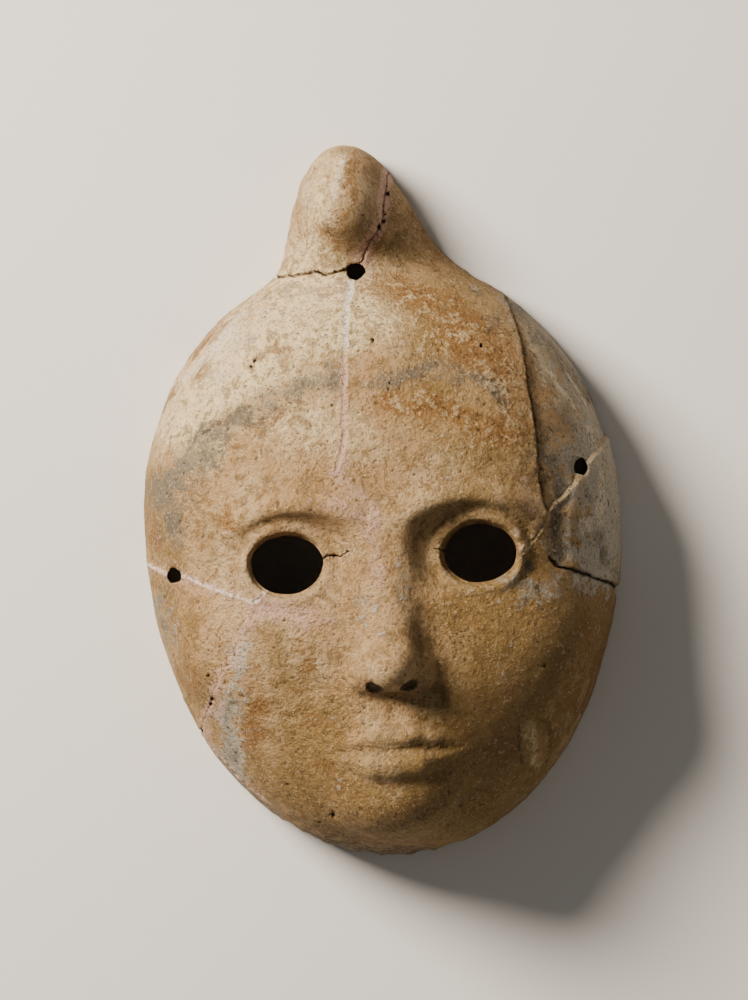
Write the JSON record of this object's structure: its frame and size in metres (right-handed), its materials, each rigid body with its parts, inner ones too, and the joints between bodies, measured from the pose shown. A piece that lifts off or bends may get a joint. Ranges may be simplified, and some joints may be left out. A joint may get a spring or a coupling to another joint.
{
  "type": "terracotta mask",
  "caption": "Life-size press-moulded terracotta face mask with a leaning topknot, open eyes and nostrils, hollow behind and pierced to hang.",
  "frame": {"origin": "on the surface it lies on, under the middle of its outline", "axes": "+Z out of the face, +Y towards the topknot, +X to the viewer's right when looking at the face"},
  "size_m": [0.1774, 0.2648, 0.0967],
  "materials": {
    "terracotta": "matt unglazed buff terracotta, worn and stained, mended with pink and white plaster"
  },
  "bodies": {
    "root": {"mask_shell": "terracotta"}
  },
  "joints": []
}
